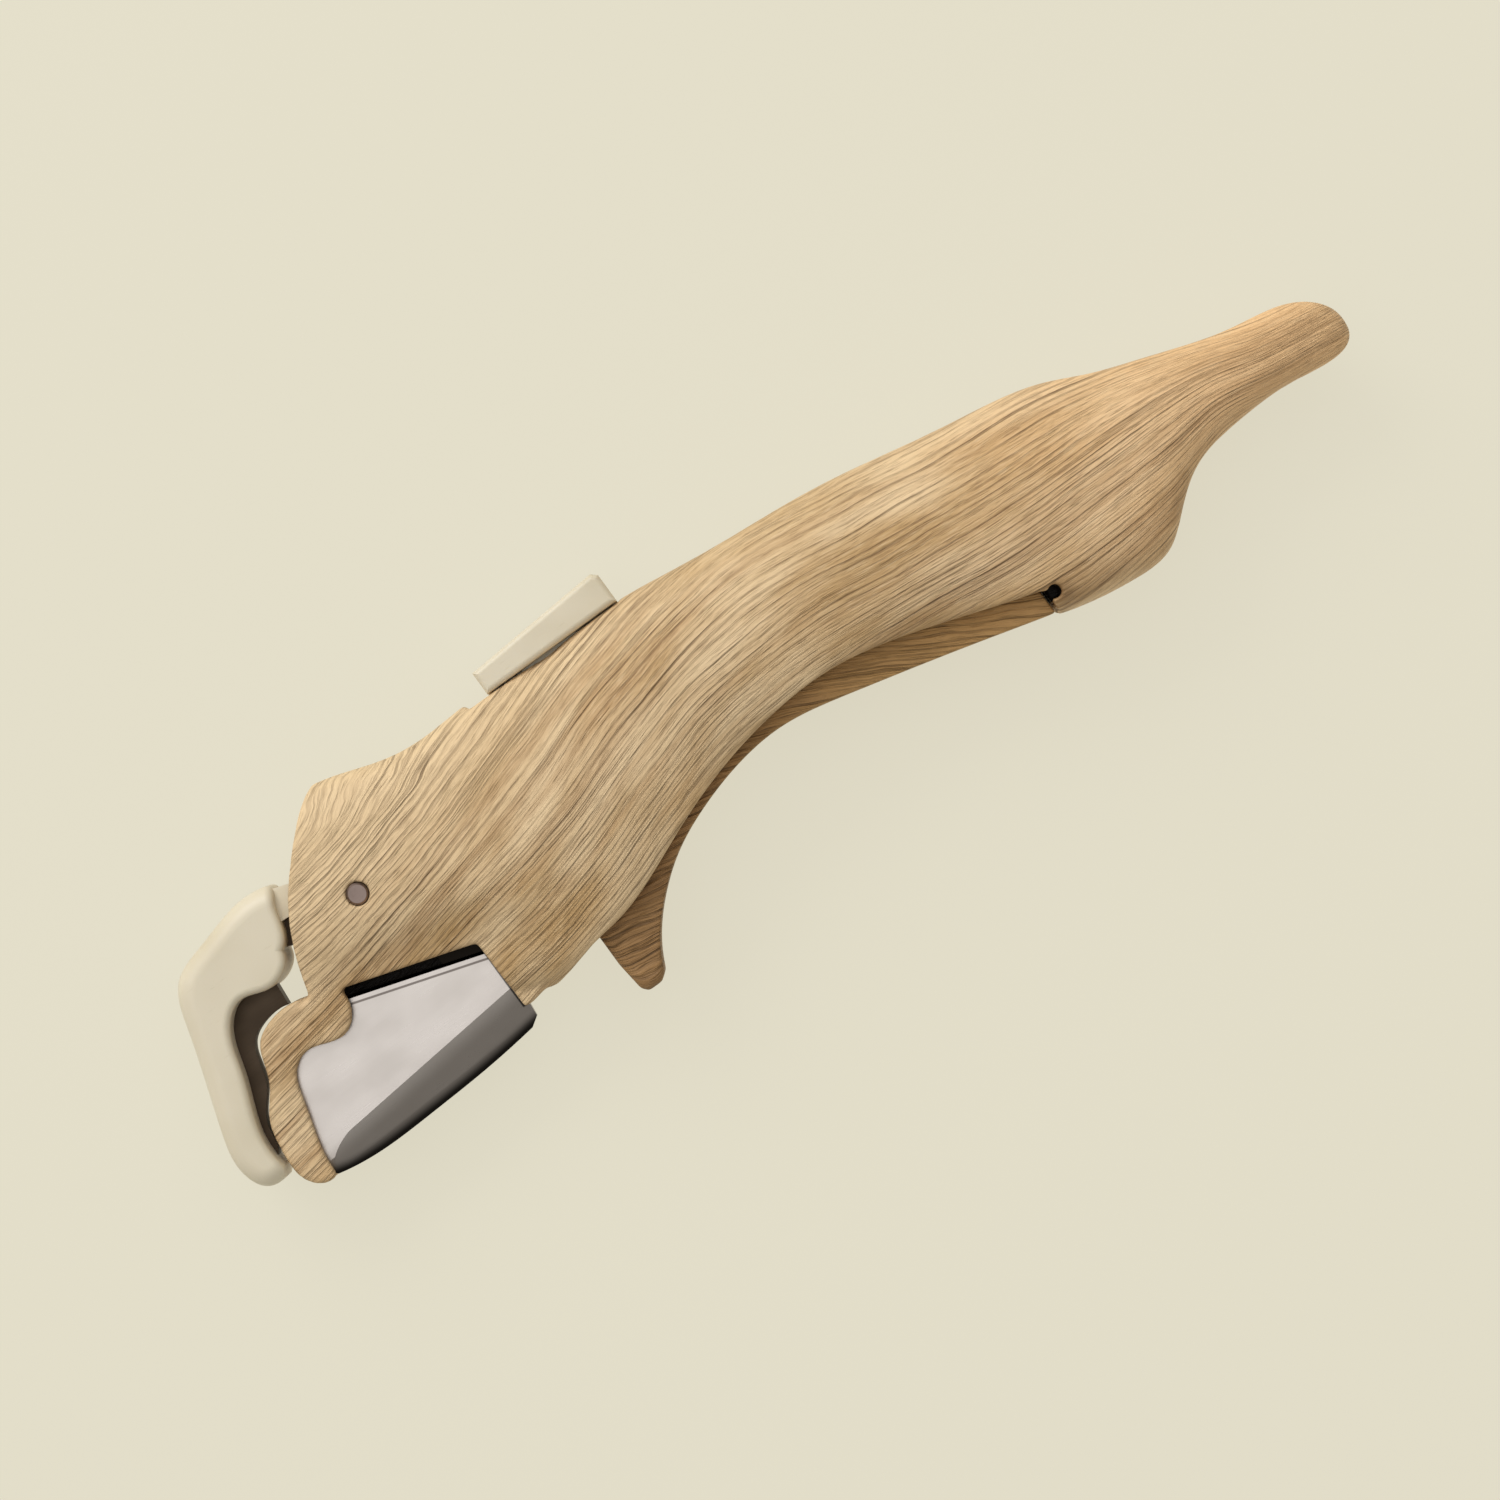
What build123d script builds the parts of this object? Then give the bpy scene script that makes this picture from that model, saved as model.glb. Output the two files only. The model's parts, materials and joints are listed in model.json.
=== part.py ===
"""Squeeze-lever hand knife with a swivelling nose guard.

The knife lies on its right side. +X runs from nose to tail, +Y towards the thumb slider and
+Z out of the left side. z = 0 is the flat land that it rests on. Millimetres.
"""
import os
from math import cos, radians, sin

from build123d import *

os.makedirs("parts", exist_ok=True)

# ---------------------------------------------------------------- driving dimensions
MID_Z = 10.0  # height of the joint plane between the two shells
FAR = 60.0  # reach of a cut that runs out of the material

# Half thicknesses, measured from the joint plane.
SKIN = 3.4  # nose plate of the shells, around the blade
GUARD_HALF = 5.75
ARM_HALF = 1.5
ARM_SLOT_HALF = 1.8
NECK_HALF = 3.6
NECK_SLOT_HALF = 3.9
BLADE_HALF = 1.5
BLADE_POCKET_HALF = 1.65
BACK_CHAMFER = 0.45  # along the blade's back
TANG_HALF = 0.75
CARRIER_HALF = 1.8
CARRIER_POCKET_HALF = 2.0
LEVER_HALF = 4.5
LEVER_SLOT_HALF = 4.8
SLIDER_HALF = 4.6
STEM_HALF = 1.5
STEM_SLOT_HALF = 1.8
CARRIAGE_HALF = 2.2
CARRIAGE_POCKET_HALF = 2.5

# The side plates of the linkage lie in one layer on the left, above the carrier.
LINK_LOW = 2.2
LINK_HIGH = 3.4
LINK_POCKET_LOW = 1.95
LINK_POCKET_HIGH = 3.75

# Pivots, in the plane of the knife.
GUARD_PIVOT = (-59.4, 8.6)
BLADE_PIVOT = (-51.5, 1.5)
LEVER_PIVOT = (35.0, -6.5)
PIVOT_PIN_RADIUS = 1.5
BLADE_PIN_RADIUS = 1.25
RUNNING_GAP = 0.05  # radial clearance of a bush on its pin

# Motion.
GUARD_TRAVEL = 28.0  # degrees
LEVER_TRAVEL = 4.0  # degrees
BLADE_TRAVEL = 6.0  # degrees
SLIDER_TRAVEL = 3.2
BUSH_RADIUS = 2.6
BLADE_BUSH_RADIUS = 2.2
CARRIER_EYE_RADIUS = 3.4  # round the blade's pin
CARRIER_TOE_RADIUS = 2.4  # round the drive pin
RIVET_RADIUS = 1.0
BLADE_RIVET_RADIUS = 0.8
ROD_RIVET_RADIUS = 0.8
PIN_END = 7.2  # half length of the guard's pin, which shows in a shallow recess
PIN_RECESS_FLOOR = 6.2
PIN_RECESS_GAP = 0.2
LEVER_PIN_HALF = 6.6  # blind
BLADE_PIN_HALF = 4.4  # blind
LINK_PIN_END = 3.55  # height of the pins that drive the linkage plates
HORN_LENGTH = 6.6  # guard pivot to the pin that the push rod takes
HORN_PIN_RADIUS = 1.0
DRIVE_PIN = (-44.0, -8.0)  # blade carrier's pin, at rest
DRIVE_PIN_RADIUS = 1.25
SLOT_GAP = 0.2  # clearance of a pin in its slot
EYE_RADIUS = 2.35  # end of the push rod, round the horn pin
EYE_ROOM = 2.8
NOSE_EYE_RADIUS = 2.55  # end of the lever's nose plate, round the drive pin
NOSE_EYE_ROOM = 2.95
EYE_ROOM_LOW = 1.0

# Stations of the handle: x, lower edge, upper edge, half width low down, half width at the middle.
# From x = -50 to x = 40 the belly is trimmed to BELLY_EDGE, so the lower edge lies beyond it there.
STATIONS = [
    (-77.0, -6.0, 23.0, 3.2, 4.4),
    (-70.0, -8.0, 24.4, 3.8, 5.9),
    (-62.0, -10.5, 24.6, 4.2, 7.0),
    (-55.0, -13.5, 24.2, 4.6, 7.7),
    (-47.0, -17.0, 21.7, 5.6, 8.5),
    (-38.0, -17.9, 20.8, 7.8, 9.8),
    (-26.0, -15.4, 20.6, 8.8, 10.4),
    (-12.0, -10.0, 20.4, 9.4, 10.8),
    (2.0, -7.4, 19.1, 9.8, 11.0),
    (16.0, -7.9, 17.7, 9.8, 11.0),
    (29.0, -11.8, 15.9, 9.7, 10.8),
    (38.0, -16.0, 14.1, 9.5, 10.5),
    (45.0, -18.0, 12.9, 9.1, 10.1),
    (54.0, -19.0, 11.1, 8.3, 9.4),
    (64.0, -13.0, 6.9, 7.4, 8.3),
    (74.0, -9.8, 3.4, 6.4, 7.3),
    (84.0, -9.7, 0.8, 5.8, 6.6),
    (90.0, -10.5, -0.7, 5.0, 5.8),
    (93.2, -9.9, -3.0, 3.4, 4.0),
    (94.3, -8.8, -4.6, 2.0, 2.4),
    (94.7, -7.6, -5.8, 0.7, 0.9),
]

# Screws through the right shell: x, y, depth of the counterbore's floor below the joint plane.
SHELL_SCREWS = [(-46.0, 13.5, 3.4), (14.0, 9.0, 5.5), (52.0, -6.0, 5.0), (80.0, -4.5, 3.6)]
SCREW_RADIUS = 1.5
SCREW_HEAD_RADIUS = 2.8
SCREW_HEAD_HEIGHT = 1.8
SCREW_GAP = 0.1
SCREW_HEAD_GAP = 0.2
SCREW_SOCKET_RADIUS = 1.25
SCREW_SOCKET_DEPTH = 1.1
INSERT_RADIUS = 2.3
INSERT_LOW = 0.4
INSERT_HIGH = 4.0
DOWELS = [(28.0, 7.0), (66.0, -2.0)]
DOWEL_RADIUS = 1.25
DOWEL_HALF = 3.0

# Thumb slide, across the top of the handle.
CARRIAGE_TOP = 17.2
CARRIAGE_BOTTOM = 12.6
STEM_FRONT = -24.0
STEM_BACK = -15.0
CARRIAGE_FRONT = -29.0
CARRIAGE_BACK = -11.0
SLIDE_END_GAP = 0.5  # at each end of the slide's travel
DETENT_ROOM = 2.0
DETENT_SPRING = [(-31.4, 10.9), (-26.0, 11.1), (-20.0, 12.1), (-14.0, 11.1), (-11.4, 10.9)]
DETENT_THICKNESS = 0.35
DETENT_HALF = 1.8
ROD_WIDTH = 2.6
SLIDER_BOTTOM = 20.2
SLIDER_SCREW_RADIUS = 1.0
SLIDER_SCREW_HEAD = 1.8
ROD_RIVETS = [(-27.0, 14.2), (-13.0, 14.2)]
SLIDER_SCREWS = [-21.5, -17.5]

LEVER_RIVETS = [(-34.2, -10.9), (-29.5, -10.6)]
GUARD_PINS = [(-77.6, 11.0), (-73.4, 11.2)]
BLADE_RIVETS = [(-54.6, -2.9), (-48.6, -3.6)]
# Blocks, as x and y ranges.
TANG = (-56.3, -47.2, -8.4, -1.3)
NOSE_PLATE = (-43.0, -26.8, -13.2, -8.2)
NOSE_PLATE_SEAT = (-37.5, -26.5, -13.4, -8.0)
NOSE_PLATE_ROOM = (-42.0, -30.0, -14.2, -2.2)
SLIDER_TRACK = (-33.2, -7.6, 20.0, FAR)
GUIDE = (-35.0, -8.0, 17.5, 18.3)
GUIDE_HALF = 3.4

# Return spring of the lever.
SPRING_X = -15.0
SPRING_BOTTOM = -7.6
SPRING_TOP = 5.8
SPRING_RADIUS = 2.2
SPRING_WIRE = 0.35
SPRING_TURNS = 6
SPRING_END_GAP = 0.1
SPRING_BORE_RADIUS = 2.9

# Torsion spring of the guard, in the right shell.
TORSION_LOW = -4.2
TORSION_PITCH = 0.72
TORSION_TURNS = 3
TORSION_RADIUS = 3.2
TORSION_WIRE = 0.3
TORSION_ROOM_RADIUS = 4.5
TORSION_ROOM = (-4.6, -1.0)

# ---------------------------------------------------------------- points that follow from them


def level(height):
    """Plane at a height from the joint plane."""
    return Plane.XY.offset(MID_Z + height)


def turned(point, centre, angle):
    """A point turned counter-clockwise about a centre, by degrees."""
    x, y = point[0] - centre[0], point[1] - centre[1]
    c, s = cos(radians(angle)), sin(radians(angle))
    return (centre[0] + x * c - y * s, centre[1] + x * s + y * c)


HORN_PIN = (GUARD_PIVOT[0], GUARD_PIVOT[1] - HORN_LENGTH)
HORN_PIN_OPEN = turned(HORN_PIN, GUARD_PIVOT, -GUARD_TRAVEL)
DRIVE_PIN_DOWN = turned(DRIVE_PIN, BLADE_PIVOT, BLADE_TRAVEL)
# Where the squeezed carrier's pin stands in the lever, once the lever is back at rest.
DRIVE_SLOT_END = turned(DRIVE_PIN_DOWN, LEVER_PIVOT, LEVER_TRAVEL)
SLOT_TOP = (HORN_PIN[0], HORN_PIN_OPEN[1])  # upper end of the slot in the push rod's eye
ROD_ROUTE = [HORN_PIN, (-55.0, 5.0), (-28.5, 14.2), (-11.6, 14.2)]


# ---------------------------------------------------------------- drawing helpers


def draw(runs):
    """A closed outline: a run of two points is straight, a longer one is a smooth curve."""
    for run in runs:
        if len(run) == 2:
            Line(*run)
        else:
            Spline(*run)


def plate(runs, low, high, mode=Mode.ADD):
    """A flat piece between two heights, from its outline's runs."""
    with BuildSketch(level(low)) as face:
        with BuildLine():
            draw(runs)
        make_face()
    extrude(face.sketch, amount=high - low, mode=mode)


def column(point, radius, low, high, mode=Mode.ADD):
    """A round column between two heights."""
    with BuildSketch(level(low)) as disc:
        with Locations(point):
            Circle(radius)
    extrude(disc.sketch, amount=high - low, mode=mode)


def hull(discs, low, high, mode=Mode.ADD):
    """A plate whose outline is stretched round some discs: (point, radius)."""
    with BuildSketch(level(low)) as face:
        for point, radius in discs:
            with Locations(point):
                Circle(radius)
        make_hull()
    extrude(face.sketch, amount=high - low, mode=mode)


def brick(x_low, x_high, y_low, y_high, low, high, mode=Mode.ADD):
    """A block between two heights, from its sides."""
    with BuildSketch(level(low)) as face:
        with Locations(((x_low + x_high) / 2, (y_low + y_high) / 2)):
            Rectangle(x_high - x_low, y_high - y_low)
    extrude(face.sketch, amount=high - low, mode=mode)


def strip(route, width, low, high, mode=Mode.ADD):
    """A flat strip of even width along a route of points."""
    with BuildSketch(level(low)) as face:
        with BuildLine() as path:
            Polyline(*route)
        trace(path.line, line_width=width)
    extrude(face.sketch, amount=high - low, mode=mode)


def post(x, radius, y_low, y_high, mode=Mode.ADD):
    """A round column across the knife, from the belly towards the back, in the joint plane."""
    with BuildSketch(Plane.XZ.offset(-y_low)) as disc:
        with Locations((x, MID_Z)):
            Circle(radius)
    extrude(disc.sketch, amount=y_low - y_high, mode=mode)


def slope(first, second, third):
    """Plane through three points, given from the joint plane, that faces left."""
    a, b, c = (Vector(x, y, MID_Z + z) for x, y, z in (first, second, third))
    normal = (b - a).cross(c - a)
    if normal.Z < 0:
        normal = -normal
    return Plane(origin=a, z_dir=normal)


def save(builder, name):
    """Label a finished piece and write it."""
    builder.part.label = name
    export_step(builder.part, f"parts/{name}.step")


# ---------------------------------------------------------------- outlines

HEAD_FRONT = [(-73.3, 1.0), (-71.2, 7.0), (-68.0, 13.0), (-63.5, 18.5), (-59.5, 22.4), (-56.5, 24.4)]
FINGER_EDGE = [
    (-73.3, 1.2), (-80.0, 1.6), (-82.3, 0.3), (-84.5, -4.8), (-87.5, -9.0), (-88.7, -14.0),
    (-88.5, -18.2), (-86.8, -20.3), (-84.5, -20.6),
]
WINDOW_FRONT = [
    (-84.5, -20.6), (-84.2, -17.0), (-82.3, -10.0), (-80.4, -5.6), (-78.0, -4.5), (-75.0, -5.3),
    (-72.3, -5.7), (-70.3, -4.4), (-69.5, -0.3),
]
BELLY_EDGE = [
    (-50.4, -17.0), (-46.5, -17.3), (-42.0, -16.6), (-37.9, -15.6), (-33.0, -14.9),
    (-28.0, -13.5), (-20.0, -10.2), (-10.0, -6.7), (0.0, -4.7), (10.0, -4.4), (20.0, -6.4),
    (30.0, -9.6), (39.6, -12.7),
]
LEVER_ROOF = [
    (-37.9, -4.3), (-28.0, -3.2), (-20.0, -1.2), (-10.0, 1.5), (0.0, 2.9), (10.0, 2.2),
    (20.0, -0.4), (30.0, -1.8), (36.8, -1.5),
]
LEVER_GRIP = [
    (39.2, -16.1), (30.0, -13.6), (10.0, -8.5), (0.0, -6.75), (-8.0, -7.5), (-15.0, -9.5),
    (-21.0, -12.2), (-26.0, -15.9), (-30.0, -20.3), (-32.2, -24.3),
]
LEVER_TOP = [
    (-36.7, -10.2), (-28.0, -8.5), (-20.0, -5.7), (-10.0, -2.2), (0.0, -0.3), (10.0, -0.3),
    (20.0, -2.0), (31.5, -3.0),
]
NOTCH = (40.5, -13.6)
NOTCH_RADIUS = 1.0
NOTCH_FLOOR = 3.0
GUARD_OUTER = [
    (-67.6, 16.3), (-73.0, 17.3), (-81.0, 15.5), (-86.3, 13.4), (-89.3, 7.0), (-91.5, 0.0),
    (-93.8, -7.0), (-94.7, -12.0), (-93.2, -16.0), (-90.3, -16.7),
]
GUARD_BACK = [(-72.3, 8.4), (-70.7, 10.4), (-70.1, 12.5), (-67.6, 16.3)]
GUARD_OUTER_ROUND = 2.6
GUARD_INNER_ROUND = 1.0
GUARD_INNER = [
    (-89.3, -15.3), (-89.5, -11.0), (-86.5, -2.0), (-83.6, 4.8), (-81.0, 6.3), (-77.0, 5.3),
    (-74.5, 5.7), (-73.0, 6.8), (-72.3, 8.4),
]
# The arm's inner edge follows the finger of the shells, half a millimetre off.
ARM_FINGER_SIDE = [
    (-90.4, -14.4), (-89.2, -13.2), (-88.15, -9.1), (-85.1, -4.7), (-83.0, 0.8), (-80.3, 2.15),
    (-76.4, 2.1),
]
ARM_IN_GUARD = [(-80.0, 13.4), (-84.6, 9.6), (-88.0, 1.5), (-90.6, -7.0), (-91.6, -12.0)]
ARM_OUTLINE = [
    [(-60.5, 13.2), (-69.0, 14.6)],
    [(-69.0, 14.6), ARM_IN_GUARD[0]],
    ARM_IN_GUARD,
    [ARM_IN_GUARD[-1], ARM_FINGER_SIDE[0]],
    ARM_FINGER_SIDE,
    [ARM_FINGER_SIDE[-1], (-76.0, 6.6)],
    [(-76.0, 6.6), (-72.0, 8.6)],
    [(-72.0, 8.6), (-63.0, 5.0)],
    [(-63.0, 5.0), (-60.5, 13.2)],
]
# Plastic neck that carries the guard into the head, round its steel arm.
NECK_OUTLINE = [
    [(-65.2, 14.9), (-69.5, 16.3)],
    [(-69.5, 16.3), (-75.0, 16.0)],
    [(-75.0, 16.0), (-75.0, 11.9)],
    [(-75.0, 11.9), (-66.6, 11.6)],
    [(-66.6, 11.6), (-65.2, 14.9)],
]
CARRIER_WEB = [
    (-56.8, -3.8), (-50.6, -5.8), (-45.4, -9.9), (-41.9, -6.9), (-48.7, 3.3), (-53.6, 4.0),
    (-56.5, -1.0),
]
BEVEL_FRONT = [(-85.4, -21.6), (-84.0, -18.9), (-80.6, -16.9), (-76.0, -16.3)]
# Three points of the bevel's face and of the edge bevel's face, heights from the joint plane.
BEVEL_POINTS = [(-80.0, -16.7, 1.5), (-50.5, -13.85, 1.5), (-53.0, -20.3, 0.25)]
EDGE_POINTS = [(-78.0, -20.4, 0.68), (-53.0, -19.2, 0.46), (-53.0, -20.3, 0.08)]
BLADE_EDGE = [(-51.5, -20.0), (-60.0, -20.9), (-70.0, -21.4), (-78.0, -21.5), (-84.5, -20.6)]
BLADE_FRONT = [
    (-86.2, -19.0), (-85.6, -14.5), (-84.0, -9.5), (-82.3, -5.2), (-80.5, -3.2), (-78.0, -2.6),
    (-75.0, -3.2),
]
POCKET_FRONT = [
    (-86.6, -19.0), (-86.0, -14.5), (-84.4, -9.4), (-82.7, -5.0), (-80.7, -2.8), (-78.0, -2.1),
    (-72.8, -3.1),
]
# Ledge of the right shell that closes the window behind the blade's back.
LEDGE = [(-70.2, 0.6), (-50.0, -5.6), (-49.6, -9.0), (-70.9, -4.6)]
BLADE_TOP_FRONT = (-70.8, -1.2)
BLADE_TOP_BACK = (-47.8, -8.5)
BLADE_OUTLINE = [
    [BLADE_TOP_BACK, (-47.8, -16.6)],
    [(-47.8, -16.6), (-49.8, -17.0)],
    [(-49.8, -17.0), (-50.0, -19.0)],
    [(-50.0, -19.0), BLADE_EDGE[0]],
    BLADE_EDGE,
    [BLADE_EDGE[-1], BLADE_FRONT[0]],
    BLADE_FRONT,
    [BLADE_FRONT[-1], (-72.6, -3.7)],
    [(-72.6, -3.7), BLADE_TOP_FRONT],
    [BLADE_TOP_FRONT, BLADE_TOP_BACK],
]


# ---------------------------------------------------------------- handle form, left half


def section(bottom, top, low, middle):
    """Points round half a cross-section: full low on the side, leaning in to a narrow back."""
    height = top - bottom
    side = [
        (top - 0.004 * height, 0.18 * middle),
        (top - 0.022 * height, 0.37 * middle),
        (top - 0.09 * height, 0.58 * middle),
        (top - 0.30 * height, 0.90 * middle),
        (top - 0.55 * height, middle),
        (bottom + 0.18 * height, low),
        (bottom + 0.045 * height, 0.75 * low),
        (bottom + 0.008 * height, 0.36 * low),
    ]
    return [(top, 0.0), *side, (bottom, 0.0)]


with BuildPart() as nose_plate:
    plate(
        [
            FINGER_EDGE,
            [FINGER_EDGE[-1], (-50.0, -17.3)],
            [(-50.0, -17.3), (-44.0, -16.2)],
            [(-44.0, -16.2), (-44.0, 2.0)],
            [(-44.0, 2.0), (-72.6, 2.0)],
            [(-72.6, 2.0), FINGER_EDGE[0]],
        ],
        0.0,
        SKIN,
    )

with BuildPart() as handle:
    for x, bottom, top, low, middle in STATIONS:
        across = Plane(origin=(x, 0, MID_Z), x_dir=(0, 1, 0), z_dir=(1, 0, 0))
        with BuildSketch(across):
            with BuildLine():
                Spline(*section(bottom, top, low, middle))
                Line((bottom, 0.0), (top, 0.0))
            make_face()
    loft()
    # Front of the head.
    plate(
        [
            HEAD_FRONT,
            [HEAD_FRONT[-1], (-56.5, FAR)],
            [(-56.5, FAR), (-110.0, FAR)],
            [(-110.0, FAR), (-110.0, 1.0)],
            [(-110.0, 1.0), HEAD_FRONT[0]],
        ],
        -FAR,
        FAR,
        Mode.SUBTRACT,
    )
    add(nose_plate.part)
    # Window that shows the blade.
    plate(
        [
            WINDOW_FRONT,
            [WINDOW_FRONT[-1], (-50.5, -6.2)],
            [(-50.5, -6.2), (-50.2, -FAR)],
            [(-50.2, -FAR), (-84.5, -FAR)],
            [(-84.5, -FAR), WINDOW_FRONT[0]],
        ],
        -FAR,
        FAR,
        Mode.SUBTRACT,
    )
    # Lower edge from the window to the lever's heel, and the blind notch behind the lever.
    plate(
        [
            BELLY_EDGE,
            [BELLY_EDGE[-1], (40.3, -FAR)],
            [(40.3, -FAR), (-50.4, -FAR)],
            [(-50.4, -FAR), BELLY_EDGE[0]],
        ],
        -FAR,
        FAR,
        Mode.SUBTRACT,
    )
    column(NOTCH, NOTCH_RADIUS, NOTCH_FLOOR, FAR, Mode.SUBTRACT)
    # Flat track under the thumb slider.
    brick(*SLIDER_TRACK, -FAR, FAR, Mode.SUBTRACT)

    # Pocket of the blade, open below so that it can swing out.
    plate(
        [
            POCKET_FRONT,
            [POCKET_FRONT[-1], (-71.2, -0.6)],
            [(-71.2, -0.6), (-46.4, -7.9)],
            [(-46.4, -7.9), (-45.4, -17.0)],
            [(-45.4, -17.0), (-45.4, -FAR)],
            [(-45.4, -FAR), (-86.6, -FAR)],
            [(-86.6, -FAR), POCKET_FRONT[0]],
        ],
        -BLADE_POCKET_HALF,
        BLADE_POCKET_HALF,
        Mode.SUBTRACT,
    )
    # Pocket of the blade carrier.
    hull(
        [
            (BLADE_PIVOT, CARRIER_EYE_RADIUS + 0.5),
            (DRIVE_PIN, CARRIER_TOE_RADIUS + 0.4),
            (DRIVE_PIN_DOWN, CARRIER_TOE_RADIUS + 0.4),
            ((-55.6, -2.0), 1.9),
            ((-55.8, -3.2), 1.5),
        ],
        -CARRIER_POCKET_HALF,
        CARRIER_POCKET_HALF,
        Mode.SUBTRACT,
    )
    # Slots of the guard's arm, of its neck and of its horn.
    plate(
        [
            [(-63.5, 4.0), (-58.2, 13.6)],
            [(-58.2, 13.6), (-61.2, 18.0)],
            [(-61.2, 18.0), (-61.2, 26.0)],
            [(-61.2, 26.0), (-80.0, 26.0)],
            [(-80.0, 26.0), (-80.0, 7.3)],
            [(-80.0, 7.3), (-63.5, 4.0)],
        ],
        -ARM_SLOT_HALF,
        ARM_SLOT_HALF,
        Mode.SUBTRACT,
    )
    plate(
        [
            [(-65.9, 11.0), (-61.2, 15.6)],
            [(-61.2, 15.6), (-61.2, 26.0)],
            [(-61.2, 26.0), (-80.0, 26.0)],
            [(-80.0, 26.0), (-80.0, 11.0)],
            [(-80.0, 11.0), (-65.9, 11.0)],
        ],
        -NECK_SLOT_HALF,
        NECK_SLOT_HALF,
        Mode.SUBTRACT,
    )
    hull(
        [(GUARD_PIVOT, 5.5), (HORN_PIN, 2.6), (HORN_PIN_OPEN, 2.6)],
        -ARM_SLOT_HALF,
        ARM_SLOT_HALF,
        Mode.SUBTRACT,
    )
    # Cavity of the lever.
    plate(
        [
            LEVER_ROOF,
            [LEVER_ROOF[-1], (39.7, -3.8)],
            [(39.7, -3.8), (39.7, -FAR)],
            [(39.7, -FAR), (-37.9, -FAR)],
            [(-37.9, -FAR), LEVER_ROOF[0]],
        ],
        -LEVER_SLOT_HALF,
        LEVER_SLOT_HALF,
        Mode.SUBTRACT,
    )
    # Cavities of the slide: stem slot, guide strip, carriage and detent.
    stem_room = (STEM_FRONT - SLIDER_TRAVEL - SLIDE_END_GAP, STEM_BACK + SLIDE_END_GAP)
    brick(*stem_room, CARRIAGE_TOP, FAR, -STEM_SLOT_HALF, STEM_SLOT_HALF, Mode.SUBTRACT)
    brick(*GUIDE, -GUIDE_HALF, GUIDE_HALF, Mode.SUBTRACT)
    carriage_front = CARRIAGE_FRONT - SLIDER_TRAVEL - SLIDE_END_GAP
    carriage_room = (carriage_front, CARRIAGE_BACK + SLIDE_END_GAP)
    brick(
        *carriage_room,
        CARRIAGE_BOTTOM - DETENT_ROOM,
        GUIDE[2],
        -CARRIAGE_POCKET_HALF,
        CARRIAGE_POCKET_HALF,
        Mode.SUBTRACT,
    )
    # Seat of the lever's return spring.
    post(SPRING_X, SPRING_BORE_RADIUS, -5.0, SPRING_TOP, Mode.SUBTRACT)
    # Pivot bores, dowel holes.
    column(GUARD_PIVOT, PIVOT_PIN_RADIUS, -FAR, FAR, Mode.SUBTRACT)
    recess_radius = PIVOT_PIN_RADIUS + PIN_RECESS_GAP
    column(GUARD_PIVOT, recess_radius, PIN_RECESS_FLOOR, FAR, Mode.SUBTRACT)
    column(LEVER_PIVOT, PIVOT_PIN_RADIUS, -LEVER_PIN_HALF, LEVER_PIN_HALF, Mode.SUBTRACT)
    column(BLADE_PIVOT, BLADE_PIN_RADIUS, -BLADE_PIN_HALF, BLADE_PIN_HALF, Mode.SUBTRACT)
    for dowel in DOWELS:
        column(dowel, DOWEL_RADIUS, -DOWEL_HALF, DOWEL_HALF, Mode.SUBTRACT)

# ---------------------------------------------------------------- shells

with BuildPart() as left_shell:
    add(handle.part)
    # Room for the push rod over its whole travel.
    for share in (0.0, 0.5, 1.0):
        shift = share * SLIDER_TRAVEL
        route = [(x - shift, y) for x, y in [*ROD_ROUTE, (-11.0, 14.2)]]
        strip(route, ROD_WIDTH + 0.8, LINK_POCKET_LOW, LINK_POCKET_HIGH, Mode.SUBTRACT)
    eye_forward = HORN_PIN[0] - SLIDER_TRAVEL
    eye_spots = [HORN_PIN, SLOT_TOP, (eye_forward, HORN_PIN[1]), (eye_forward, SLOT_TOP[1])]
    eye_discs = [(spot, EYE_ROOM) for spot in eye_spots]
    hull(eye_discs, EYE_ROOM_LOW, LINK_POCKET_HIGH, Mode.SUBTRACT)
    # Room for the lever's nose plate, at rest and squeezed.
    at_rest = [DRIVE_PIN, DRIVE_SLOT_END]
    squeezed = [turned(spot, LEVER_PIVOT, -LEVER_TRAVEL) for spot in at_rest]
    nose_discs = [(spot, NOSE_EYE_ROOM) for spot in at_rest + squeezed]
    hull(nose_discs, EYE_ROOM_LOW, LINK_POCKET_HIGH, Mode.SUBTRACT)
    brick(*NOSE_PLATE_ROOM, EYE_ROOM_LOW, LINK_POCKET_HIGH, Mode.SUBTRACT)
    for x, y, _ in SHELL_SCREWS:
        column((x, y), INSERT_RADIUS, 0.0, INSERT_HIGH, Mode.SUBTRACT)
save(left_shell, "left_shell")

with BuildPart() as right_shell:
    add(handle.part)
    mirror(about=level(0), mode=Mode.REPLACE)
    # Flat land that the knife rests on.
    split(bisect_by=Plane.XY, keep=Keep.TOP)
    with BuildSketch(level(-SKIN)) as ledge:
        with BuildLine():
            Polyline(*LEDGE, close=True)
        make_face()
    extrude(ledge.sketch, amount=SKIN - CARRIER_POCKET_HALF)
    for x, y, floor in SHELL_SCREWS:
        column((x, y), SCREW_RADIUS + SCREW_GAP, -FAR, 0.0, Mode.SUBTRACT)
        column((x, y), SCREW_HEAD_RADIUS + SCREW_HEAD_GAP, -FAR, -floor, Mode.SUBTRACT)
    # Room for the guard's torsion spring.
    column(GUARD_PIVOT, TORSION_ROOM_RADIUS, *TORSION_ROOM, Mode.SUBTRACT)
save(right_shell, "right_shell")

# ---------------------------------------------------------------- fixed hardware

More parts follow.
